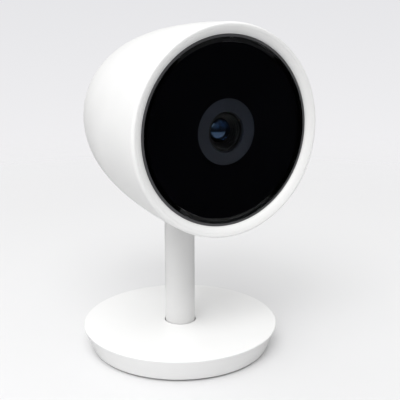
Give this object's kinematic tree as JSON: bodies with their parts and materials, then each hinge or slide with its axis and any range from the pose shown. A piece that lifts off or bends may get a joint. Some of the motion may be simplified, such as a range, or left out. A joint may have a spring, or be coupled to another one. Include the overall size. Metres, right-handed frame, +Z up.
{
  "type": "indoor security camera",
  "caption": "Indoor smart-home camera: bowl-shaped head with a round black glass front, tilting on a slim stem that swivels in a weighted round base.",
  "frame": {"origin": "centre of the base's underside, in the plane it stands on and on the stem's swivel axis", "axes": "+Z up along the stem; the head's glass front faces -Y; +X is to the left of someone standing behind the head and looking the way it looks"},
  "size_m": [0.075, 0.076, 0.124],
  "materials": {
    "white_shell": "fine matte moulded white",
    "white_paint": "satin white powder coat",
    "grey_plastic": "moulded grey",
    "dark_plastic": "fine moulded dark grey",
    "black_plastic": "matte black",
    "ring_diffuser": "smoked translucent ring, unlit",
    "front_glass": "polished flat glass",
    "lens_glass": "coated lens glass",
    "rubber_foot": "matte rubber",
    "foam": "closed-cell foam",
    "steel": "plated steel",
    "ballast": "cast and phosphated",
    "aluminium": "die-cast",
    "brass": "turned brass",
    "circuit_board": "solder mask",
    "chip": "moulded package",
    "cable": "soft jacket",
    "led_white": "clear-encapsulated"
  },
  "bodies": {
    "base": {"foot_ring": "rubber_foot", "base_plate": "grey_plastic", "tripod_insert": "brass", "base_weight": "ballast", "base_cover": "white_paint", "base_screws": "steel", "usb_port": "steel", "port_board": "circuit_board", "base_lead": "cable", "swivel_bush": "black_plastic", "wave_washer": "steel"},
    "stem": {"stem_flange": "steel", "stem_tube": "white_paint", "tilt_drum": "aluminium", "stem_harness": "cable"},
    "head": {"tilt_pin": "steel", "pin_clips": "steel", "friction_washers": "brass", "tilt_bracket": "steel", "bracket_screws": "steel", "chassis": "dark_plastic", "chassis_screws": "steel", "main_board": "circuit_board", "processor_can": "steel", "board_chips": "chip", "board_screws": "steel", "heat_sink": "aluminium", "speaker": "dark_plastic", "speaker_box": "grey_plastic", "speaker_mesh": "black_plastic", "wifi_antenna": "brass", "flex_cable": "brass", "camera_board": "circuit_board", "image_sensor": "chip", "lens_holder": "black_plastic", "ir_cut_filter": "lens_glass", "lens_barrel": "black_plastic", "rear_lens": "lens_glass", "front_lens": "lens_glass", "lens_hood": "dark_plastic", "front_board": "circuit_board", "ir_leds": "led_white", "status_leds": "led_white", "microphones": "brass", "mic_boots": "foam", "glass_gasket": "foam", "mask_film": "black_plastic", "front_glass": "front_glass", "light_ring": "ring_diffuser", "front_ring": "white_shell", "head_shell": "white_shell"}
  },
  "joints": [
    {"name": "stem_swivel", "type": "hinge", "parent": "base", "child": "stem", "pos_m": [0, 0, 0.007], "axis": [0, 0, 1], "range_deg": [-165, 165]},
    {"name": "head_tilt", "type": "hinge", "parent": "stem", "child": "head", "pos_m": [0, 0, 0.064], "axis": [1, 0, 0], "range_deg": [-25, 25]}
  ]
}
